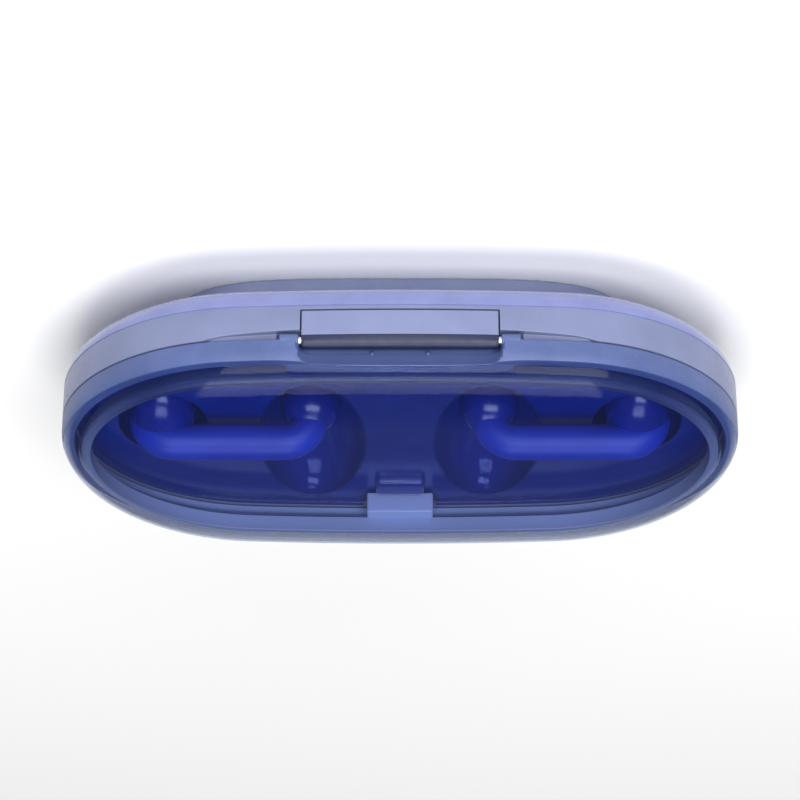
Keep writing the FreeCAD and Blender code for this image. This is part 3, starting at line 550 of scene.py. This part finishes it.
FOOT = moulded("foot_plastic", rgb(116, 124, 158), rgb(124, 132, 166), 0.45)
BASE_GLOSS = moulded("base_gloss", rgb(104, 112, 162), rgb(114, 122, 172), 0.16, coat=0.5)
BAND = frosted("band_satin", rgb(104, 112, 146), rgb(112, 120, 154), 0.36, 0.1)
# The hinge block is painted dark above 11.72 mm: painted shade on its crown.
HINGE = painted_shade_on_top("hinge_plastic", rgb(110, 118, 154), rgb(117, 125, 162), rgb(20, 28, 62), 0.01172)
# The lid band's pale front colour is painted light.
FROST = lets_light_through(
    frosted("lid_frost", rgb(70, 86, 134), rgb(80, 96, 146), 0.42, 0.3, front=rgb(176, 188, 224)),
    0.08,
    (0.84, 0.88, 0.96, 1),
)
# The window ring's dark rear and pale front are painted shade and painted light.
SEAL = painted_shade_fade("seal_dark", rgb(40, 50, 92), rgb(164, 174, 206), 0.45)
TRAY = moulded("tray_navy", rgb(3, 30, 112), rgb(5, 36, 122), 0.14, coat=0.15)
LINER = clear("liner_gloss", (0.6, 0.66, 0.95, 1), rgb(24, 58, 160), 0.25, 0.95, 0.04)
# The dome's pale front edge is painted light.
DOME = painted_pale_front(clear("dome_clear", (0.8, 0.84, 0.94, 1), rgb(96, 110, 168), 0.02, 0.95))
BUD = moulded("bud_plastic", rgb(4, 26, 118), rgb(6, 32, 130), 0.22, coat=0.2)
BUD_SOFT = moulded("bud_soft", rgb(14, 42, 158), rgb(20, 50, 172), 0.42)
GRILLE = mesh_grille("grille_mesh")
STEEL = metal("steel", (0.7, 0.71, 0.74, 1), 0.25)
NICKEL = metal("magnet_nickel", (0.72, 0.7, 0.66, 1), 0.2)
GOLD = metal("contact_gold", (0.9, 0.66, 0.3, 1), 0.22)
FOIL = metal("battery_foil", (0.66, 0.67, 0.7, 1), 0.35)
CHIP = moulded("chip_black", rgb(22, 22, 26), rgb(30, 30, 34), 0.5)
LAMP = moulded("lamp_white", rgb(214, 222, 236), rgb(232, 238, 246), 0.2)
FOAM = moulded("foam_grey", rgb(58, 58, 64), rgb(78, 78, 84), 0.9, grain=0.0001)
BOARD = circuit("board_green")

SLOT_MATERIALS = {
    "foot_plastic": FOOT, "base_gloss": BASE_GLOSS, "band_satin": BAND, "hinge_plastic": HINGE,
    "steel": STEEL, "tray_navy": TRAY, "liner_gloss": LINER, "board_green": BOARD,
    "chip_black": CHIP, "lamp_white": LAMP, "battery_foil": FOIL, "foam_grey": FOAM,
    "magnet_nickel": NICKEL, "contact_gold": GOLD, "lid_frost": FROST, "dome_clear": DOME,
    "seal_dark": SEAL, "bud_plastic": BUD, "bud_soft": BUD_SOFT, "grille_mesh": GRILLE,
}


def dress_cad_nodes():
    """Gives each CAD node the material of its slot."""
    for entry in frame["record"]["subparts"]:
        material = SLOT_MATERIALS[entry["material_slot"]]
        mesh = NODES[entry["node"]].data
        mesh.materials.clear()
        mesh.materials.append(material)


# ---------------------------------------------------------------- base


def rear(station):
    """True on the rear long side of the oval."""
    return station[3] > 0 and station[1] == SIDE_RADIUS


def station_x(station):
    """Where along the case a station of its outer face lies."""
    return oval_point(station, 0.0, 0.0).x


def backed(station):
    """True where the lid's rear wall is made thicker behind the hinge."""
    return rear(station) and abs(station_x(station)) < BACKED_HALF


def round_steps(rings, bm):
    """Joins each ring of vertices to the next, all round."""
    for low, high in zip(rings, rings[1:]):
        for step in range(len(low)):
            nxt = (step + 1) % len(low)
            bm.faces.new((low[step], low[nxt], high[nxt], high[step]))


def hinge_room():
    """Room round the hinge pin, for the lid's ears."""
    return lathe_mesh([(PIN_ROOM, -PIN_ROOM_HALF), (PIN_ROOM, PIN_ROOM_HALF)], (1, 0, 0), (0, AXIS_Y, AXIS_Z))


def block_room(bottom):
    """Room for the hinge block, down to a level."""
    half = BLOCK_HALF + BLOCK_GAP
    return block_mesh((-half, half), (BLOCK_INNER - 0.1, BEYOND), (bottom, 14.0))


def make_foot():
    """The pedestal, with a rounded-rectangle outline and a shallow recess under it."""
    steps = 160
    rows = [(1.6, 0.3), (1.6, 0.06), (1.54, 0.0), (0.6, 0.0)]
    rows += [(0.25, 0.1), (0.06, 0.3), (0.0, 0.6), (0.0, 3.3)]
    bm = bmesh.new()
    rings = []
    for shrink, z in rows:
        ring = []
        for step in range(steps):
            angle = 2 * math.pi * step / steps
            c, s = math.cos(angle), math.sin(angle)
            x = (FOOT_HALF_X - shrink) * math.copysign(abs(c) ** (2 / FOOT_POWER), c)
            y = (FOOT_HALF_Y - shrink) * math.copysign(abs(s) ** (2 / FOOT_POWER), s)
            ring.append(bm.verts.new((x, y, z)))
        rings.append(ring)
    round_steps(rings, bm)
    bm.faces.new(rings[0][::-1])
    bm.faces.new(rings[-1])
    piece("foot_pad", mesh_of(bm, "foot_pad"), "case", "foot_plastic", FOOT, "foot")


def port_room():
    """Room for the charging port, a flattened round form through the front."""
    radius = PORT_RADIUS + PORT_GAP
    straight = PORT_HALF + PORT_GAP - radius
    steps = 16
    outline = []
    for side, start in ((1, -math.pi / 2), (-1, math.pi / 2)):
        for step in range(steps + 1):
            angle = start + math.pi * step / steps
            x, z = side * straight + radius * math.cos(angle), PORT_LEVEL + radius * math.sin(angle)
            outline.append((x, z))
    bm = bmesh.new()
    rings = [[bm.verts.new((x, depth, z)) for x, z in outline] for depth in PORT_DEPTHS]
    round_steps(rings, bm)
    bm.faces.new(rings[0][::-1])
    bm.faces.new(rings[1])
    return mesh_of(bm, "port_form")


def make_bottom_shell():
    """The glossy underside of the base."""
    inner_floor = CASE_BOTTOM + SHELL_FLOOR
    outer = quarter(0.0, BASE_ROUND, BELT_BOTTOM, CASE_BOTTOM, 28)
    inner = quarter(SHELL_WALL, BASE_ROUND, BELT_BOTTOM, inner_floor, 20)
    path = [(MIDDLE_INSET, CASE_BOTTOM)] + outer[::-1] + [(0.0, SHELL_SEAM - 0.1), (0.1, SHELL_SEAM)]
    path += [(SHELL_WALL - 0.05, SHELL_SEAM), (SHELL_WALL, SHELL_SEAM - 0.05)]
    path += inner + [(MIDDLE_INSET, inner_floor)]
    mesh = sweep("bottom_cover", lambda station: path, closed=False)
    shell = piece("bottom_cover", mesh, "case", "base_gloss", BASE_GLOSS, "bottom_shell")
    boolean(shell, [port_room()])
    sharpen(shell)


def make_base_band():
    """The satin band, with the relief for the lid's rear edge and the notch for the hinge block."""

    def profile(station):
        behind = oval_point(station, 0.0, 0.0).y - AXIS_Y + 0.15
        drop = max(behind, 0.02)
        step_inset = max(behind, 0.35) if behind > 0 else 0.8
        points = [
            (0.0, SHELL_SEAM), (0.0, BAND_TOP - drop),
            (step_inset, BAND_TOP - drop), (step_inset, BAND_TOP), (1.6, BAND_TOP),
            (1.6, 8.6), (2.0, 8.6), (2.0, 7.0), (1.4, 7.0), (1.4, SHELL_SEAM),
        ]
        return soften(points, 0.1)

    mesh = sweep("base_ring", profile)
    band = piece("base_ring", mesh, "case", "band_satin", BAND, "base_band")
    boolean(band, [block_room(BLOCK_BOTTOM - BLOCK_GAP), hinge_room(), port_room()])
    sharpen(band)


def make_hinge_block():
    """The fixed knuckle: flush rear face, crown rounded about the pin."""
    steps, edge = 72, 0.16
    bm = bmesh.new()
    inner = BLOCK_HALF - edge
    cuts = [(-BLOCK_HALF, edge), (-BLOCK_HALF + edge * 0.3, edge * 0.3), (-BLOCK_HALF + edge, 0.0)]
    cuts += [(-inner + 2 * inner * step / steps, 0.0) for step in range(1, steps)]
    cuts += [(inner, 0.0), (BLOCK_HALF - edge * 0.3, edge * 0.3), (BLOCK_HALF, edge)]
    loops = []
    for x, shrink in cuts:
        face = min(outer_depth(x), AXIS_Y + KNUCKLE + 0.1) - shrink
        loop = [(BLOCK_INNER + shrink, BLOCK_BOTTOM + shrink), (face - 0.1, BLOCK_BOTTOM + shrink)]
        loop += [(face, BLOCK_BOTTOM + shrink + 0.1), (face, AXIS_Z - 0.35)]
        crown = KNUCKLE - shrink
        for k in range(1, 12):
            angle = math.pi * k / 12
            y = AXIS_Y + crown * math.cos(angle)
            loop.append((min(y, face), AXIS_Z + crown * math.sin(angle)))
        loop.append((BLOCK_INNER + 0.25 + shrink, AXIS_Z - 0.1))
        loops.append([bm.verts.new((x, y, z)) for y, z in loop])
    round_steps(loops, bm)
    bm.faces.new(loops[0][::-1])
    bm.faces.new(loops[-1])
    piece("hinge_knuckle", mesh_of(bm, "hinge_knuckle"), "case", "hinge_plastic", HINGE, "hinge_block")


def make_tray():
    """The glossy navy cradle with its rim and bowls."""

    def profile(station):
        low = DECK_TOP - 1.0
        return soften([(1.65, low), (1.65, RIM_TOP), (2.45, RIM_TOP), (2.45, low)], 0.12)

    rough_top = DECK_TOP + 0.4
    deck = [(MIDDLE_INSET, 10.4), (1.9, 10.4), (1.9, rough_top), (MIDDLE_INSET, rough_top)]
    mesh = sweep("cradle", lambda station: deck, closed=False)
    tray = piece("cradle", mesh, "case", "tray_navy", TRAY, "cradle_tray")
    outer, hollow = [], []
    for sign in SIDES.values():
        outer.append(spheroid_mesh(7.1, 15.5, (sign * BALL_X, BOWL_Y, DECK_TOP - 0.03)))
        outer.append(spheroid_mesh(5.9, 8.3, (sign * BEAN_X, BEAN_Y, BEAN_Z)))
        hollow.append(spheroid_mesh(6.4, 14.8, (sign * BALL_X, BOWL_Y, DECK_TOP + 0.01)))
        hollow.append(spheroid_mesh(5.2, 7.6, (sign * BEAN_X, BEAN_Y, BEAN_Z)))
    top = block_mesh((-50, 50), (-50, 50), (DECK_TOP, 30.0))
    boolean(tray, outer, "UNION")
    boolean(tray, hollow)
    boolean(tray, [top])
    boolean(tray, [sweep("cradle_rim", profile)], "UNION")
    boolean(tray, [block_mesh((-3, 3), (-17.4, -13.9), (10.6, 12.4), 0.6)], "UNION")
    catch_room = block_mesh((-4.45, 4.45), (-21.35, -17.45), (11.25, 14.0))
    bores = []
    bore = [(CONTACT_BORE, 2.0), (CONTACT_BORE, DECK_TOP + 1)]
    for sign in SIDES.values():
        for offset in (-CONTACT_PITCH / 2, CONTACT_PITCH / 2):
            place = (sign * BEAN_X + offset, CONTACT_Y, 0.0)
            bores.append(lathe_mesh(bore, (0, 0, 1), place, 32))
    boolean(tray, [catch_room, block_room(BLOCK_BOTTOM), hinge_room()] + bores)
    sharpen(tray)


def make_liners():
    """The glossy liners of the ball bowls, with a turned-over lip."""
    for side, sign in SIDES.items():
        bm = bmesh.new()
        rows, steps = 28, 96
        rings = []
        for wall in (0.0, LINER_WALL):
            for row in range(rows + 1):
                k = row if wall == 0.0 else rows - row
                angle = math.pi / 2 * k / rows
                radius, half_y = LINER_RADIUS + wall, LINER_HALF_Y + wall
                drop = radius * math.cos(angle) - 0.02
                ring = []
                for step in range(steps):
                    turn = 2 * math.pi * step / steps
                    x = sign * BALL_X + radius * math.sin(angle) * math.cos(turn)
                    y = BOWL_Y + half_y * math.sin(angle) * math.sin(turn)
                    ring.append(bm.verts.new((x, y, DECK_TOP - drop)))
                rings.append(ring)
        round_steps(rings, bm)
        mesh = mesh_of(bm, f"bowl_{side}")
        piece(f"bowl_{side}", mesh, "case", "liner_gloss", LINER, f"bowl_liner_{side}")


# ---------------------------------------------------------------- lid


def lip_level(station):
    """Level of the lid band's lip, with its low swell above the hinge."""
    x = station_x(station)
    if not rear(station) or abs(x) > BUMP_HALF:
        return LIP_LEVEL
    swell = 0.5 + 0.5 * math.cos(math.pi * x / BUMP_HALF)
    return LIP_LEVEL + LIP_BUMP * swell * (2.0 - swell)


def scoop_inset(x, z):
    """How deep the rear scoop lies at x and z, below the case's outer face."""
    half = BLOCK_HALF + BLOCK_GAP
    end = 1.6
    if abs(x) >= SCOOP_HALF:
        return 0.0
    radius = SCOOP_RADIUS
    past = abs(x) - (SCOOP_HALF - end)
    if past > 0:
        radius -= end - math.sqrt(max(end**2 - past**2, 0.0))
    rise = z - SCOOP_Z
    depth = 0.0
    if abs(rise) < radius:
        depth = outer_depth(x) - (SCOOP_Y - math.sqrt(radius**2 - rise**2))
    if abs(x) < half and z < AXIS_Z + KNUCKLE + 0.2:
        depth = max(depth, outer_depth(x) - (AXIS_Y - KNUCKLE - 0.1))
    return max(depth, 0.0)


def make_lid_band():
    """The frosted band of the lid, with the scoop over the hinge, the ears and two nubs."""
    rows = 30

    def profile(station):
        x = station_x(station)
        lip = lip_level(station)
        inner = outer_depth(x) - BACKED_Y if backed(station) else 1.5
        points = [(inner, LID_BOTTOM + 0.08), (inner - 0.08, LID_BOTTOM)]
        edge = 0.1
        base = scoop_inset(x, LID_BOTTOM) if rear(station) else 0.0
        points.append((base + edge, LID_BOTTOM))
        for row in range(rows + 1):
            z = LID_BOTTOM + edge + (lip - edge - LID_BOTTOM - edge) * row / rows
            inset = lid_inset(z)
            if rear(station):
                inset = max(inset, scoop_inset(x, z))
            points.append((inset, z))
        last = lid_inset(lip)
        points += [(points[-1][0] + 0.03, lip - 0.03), (max(last + 0.1, points[-1][0] + 0.1), lip)]
        top = min(lip, BACKED_TOP)
        points += [(inner - 0.1, top), (inner, top - 0.1)]
        return points

    mesh = sweep("lid_ring", profile)
    ears = []
    for sign in SIDES.values():
        ends = [(0.0, 11.1), (0.7, 11.1), (0.8, 11.2), (0.8, 13.1), (0.7, 13.2), (0.0, 13.2)]
        turned = lathe_mesh([(r, sign * a) for r, a in ends], (1, 0, 0), (0, AXIS_Y, AXIS_Z), 40)
        nub_y = SCOOP_Y - math.sqrt(SCOOP_RADIUS**2 - 1.0)
        nub = spheroid_mesh(0.28, 0.28, (sign * 3.05, nub_y, 13.2), 24, 16)
        ears += [turned, nub]
    whole = joined("lid_ring", [mesh] + ears)
    piece("lid_ring", whole, "lid", "lid_frost", FROST, "lid_band")


def make_dome():
    """The clear top of the lid."""
    outer = quarter(0.0, LID_ROUND, BELT_TOP, CASE_TOP, 44)
    inner = quarter(SHELL_WALL, LID_ROUND, BELT_TOP, CASE_TOP - SHELL_WALL, 36)
    inner_start = 15.4

    def profile(station):
        lip = lip_level(station) + 0.01
        foot = 15.32 if backed(station) else 13.4
        lowest = (lid_inset(lip + 0.1), lip + 0.1)
        points = [(MIDDLE_INSET, CASE_TOP)]
        points += [(inset, z) if z > lip + 0.1 else lowest for inset, z in outer[::-1]]
        points += [(lid_inset(lip) + 0.04, lip + 0.02), (1.56, lip + 0.02)]
        points += [(1.56, min(foot, lip)), (FLANGE_INSET, min(foot, lip)), (FLANGE_INSET, inner_start)]
        points += [(inset, z) if z > inner_start else (FLANGE_INSET, inner_start) for inset, z in inner]
        points.append((MIDDLE_INSET, CASE_TOP - SHELL_WALL))
        return points

    mesh = sweep("dome", profile, closed=False)
    piece("dome", mesh, "lid", "dome_clear", DOME, "lid_dome")


def make_seal():
    """The ring that frames the window, painted dark at the hinge side as shade and pale at the front as
    light.
    """

    def profile(station):
        low = 15.36 if backed(station) else SEAL_BOTTOM
        points = []
        for step in range(9):
            z = low + (SEAL_TOP - low) * step / 8
            points.append((max(2.36, lid_inset(z, SHELL_WALL, CASE_TOP - SHELL_WALL) + 0.02), z))
        points += [(3.3, SEAL_TOP), (3.4, SEAL_TOP - 0.1), (3.4, low)]
        return points

    mesh = sweep("window_ring", profile)
    piece("window_ring", mesh, "lid", "seal_dark", SEAL, "lid_seal")


def make_catch():
    """The catch that hangs from the lid's front."""
    mesh = block_mesh((-4.0, 4.0), (-20.75, -17.9), (11.7, 14.3), 0.25, 4)
    piece("catch", mesh, "lid", "lid_frost", FROST, "lid_catch")


# ---------------------------------------------------------------- earbuds


def tube_mesh(points, radius, steps=40):
    """A round tube along points."""
    bm = bmesh.new()
    rings = []
    count = len(points)
    for k, point in enumerate(points):
        ahead = points[min(k + 1, count - 1)] - points[max(k - 1, 0)]
        along = ahead.normalized()
        side = Vector((0, 1, 0))
        other = along.cross(side).normalized()
        ring = []
        for step in range(steps):
            angle = 2 * math.pi * step / steps
            ring.append(bm.verts.new(point + (side * math.cos(angle) + other * math.sin(angle)) * radius))
        rings.append(ring)
    round_steps(rings, bm)
    bm.faces.new(rings[0][::-1])
    bm.faces.new(rings[-1])
    return mesh_of(bm, "tube")


def bridge_path(sign):
    """The line of the bridge: up from the barrel, straight across, and down to the ball."""
    outer, inner, low, high = BRIDGE_OUTER_X, BRIDGE_INNER_X, BRIDGE_FOOT, BRIDGE_LEVEL
    bend = BRIDGE_BEND
    arc, bar = 14, 12
    points = [(outer, low)]
    for step in range(arc + 1):
        angle = math.pi / 2 * step / arc
        points.append((outer - bend + bend * math.cos(angle), high - bend + bend * math.sin(angle)))
    for step in range(1, bar):
        points.append((outer - bend - (outer - inner - 2 * bend) * step / bar, high))
    for step in range(arc + 1):
        angle = math.pi / 2 * step / arc
        points.append((inner + bend - bend * math.sin(angle), high - bend + bend * math.cos(angle)))
    points.append((inner, low))
    return [Vector((sign * x, BRIDGE_Y, z)) for x, z in points]


def groove(radius, half, place, width=0.12, depth=0.08, rows=72):
    """The outline of a spheroid with a fine parting groove round it at a place along its axis."""
    points = []
    for row in range(rows + 1):
        angle = math.pi * row / rows
        points.append((radius * math.sin(angle), -half * math.cos(angle)))
    shaped = []
    for r, a in points:
        near = max(0.0, 1 - abs(a - place) / width)
        shaped.append((max(r - depth * near, 0.0), a))
    for offset in (-width, -width / 2, 0.0, width / 2, width):
        a = place + offset
        r = radius * math.sqrt(max(1 - (a / half) ** 2, 0.0))
        shaped.append((r - depth * max(0.0, 1 - abs(offset) / width), a))
    shaped.sort(key=lambda p: p[1])
    return shaped


def make_earbud(side, sign):
    """One earbud: ball with grille, soft bridge and barrel."""
    body = f"earbud_{side}"
    ball_centre = (sign * BALL_X, BRIDGE_Y, BALL_Z)
    outline = groove(BALL_RADIUS, BALL_RADIUS, -1.4)
    ball = lathe_mesh(outline, (0, 1, 0), ball_centre, 96)
    piece(f"ball_{side}", ball, body, "bud_plastic", BUD, f"bud_ball_{side}")
    cap = []
    for row in range(13):
        angle = 0.507 * row / 12
        cap.append(((BALL_RADIUS + 0.03) * math.sin(angle), -(BALL_RADIUS + 0.03) * math.cos(angle)))
    cap.append((cap[-1][0] - 0.1, cap[-1][1] + 0.25))
    cap.append((0.0, cap[-1][1]))
    mesh = lathe_mesh(cap, (0, 1, 0), ball_centre, 64)
    piece(f"grille_{side}", mesh, body, "grille_mesh", GRILLE, f"bud_grille_{side}")
    outline = groove(BEAN_RADIUS, BEAN_HALF_Y, 2.2)
    barrel = lathe_mesh(outline, (0, 1, 0), (sign * BEAN_X, BEAN_Y, BARREL_Z), 96)
    piece(f"barrel_{side}", barrel, body, "bud_plastic", BUD, f"bud_barrel_{side}")
    tube = tube_mesh(bridge_path(sign), BRIDGE_RADIUS)
    piece(f"bridge_{side}", tube, body, "bud_soft", BUD_SOFT, f"bud_bridge_{side}")


# ---------------------------------------------------------------- camera, floor and light


def make_camera():
    """Looks at the hinge side from above, with the view turned upside down."""
    target = Vector((0.0, 0.0, 0.0134))
    elevation = math.radians(26.0)
    distance = 0.35
    away = Vector((0.0, math.cos(elevation), math.sin(elevation)))
    data = bpy.data.cameras.new("camera")
    data.lens = 136.2
    data.sensor_width = 36.0
    data.shift_y = 0.05
    camera = bpy.data.objects.new("camera", data)
    bpy.context.scene.collection.objects.link(camera)
    camera.location = target + away * distance
    look = away.to_track_quat("Z", "Y").to_matrix().to_4x4()
    camera.matrix_world = Matrix.Translation(camera.location) @ look @ Matrix.Rotation(math.pi, 4, "Z")
    bpy.context.scene.camera = camera


def make_floor():
    """A wide pale floor."""
    bm = bmesh.new()
    bmesh.ops.create_grid(bm, x_segments=4, y_segments=4, size=3.0)
    mesh = bpy.data.meshes.new("floor")
    bm.to_mesh(mesh)
    bm.free()
    floor = bpy.data.objects.new("floor", mesh)
    bpy.context.scene.collection.objects.link(floor)
    make = Maker("floor_paper")
    make.set(Roughness=0.9)
    make.feed("Base Color", make.grey(make.noise(3.0), 0.9, 0.92))
    mesh.materials.append(make.material)


def area_light(name, place, size, power):
    """A rectangular soft light that points at the case."""
    target = Vector((0.0, 0.0, 0.01))
    data = bpy.data.lights.new(name, "AREA")
    data.shape = "RECTANGLE"
    data.size, data.size_y = size
    data.energy = power
    light = bpy.data.objects.new(name, data)
    bpy.context.scene.collection.objects.link(light)
    light.location = place
    light.rotation_euler = (Vector(place) - target).to_track_quat("Z", "Y").to_euler()


def make_lights():
    """A bright even studio: white surroundings and soft boxes from the hinge side and above."""
    world = bpy.data.worlds.new("studio")
    world.use_nodes = True
    world.node_tree.nodes["Background"].inputs["Color"].default_value = (1.0, 1.0, 1.0, 1.0)
    world.node_tree.nodes["Background"].inputs["Strength"].default_value = 0.15
    bpy.context.scene.world = world
    bpy.context.scene.view_settings.view_transform = "Standard"
    area_light("key", (0.1, 0.6, 0.5), (0.7, 0.3), 5.5)
    area_light("low", (0.08, 0.62, 0.14), (0.6, 0.12), 1.8)
    area_light("top", (0.0, 0.15, 0.8), (0.6, 0.4), 4.0)


# ---------------------------------------------------------------- assembly

make_camera()
make_floor()
make_lights()
dress_cad_nodes()
make_foot()
make_bottom_shell()
make_base_band()
make_hinge_block()
make_tray()
make_liners()
make_lid_band()
make_dome()
make_seal()
make_catch()
for bud_side, bud_sign in SIDES.items():
    make_earbud(bud_side, bud_sign)
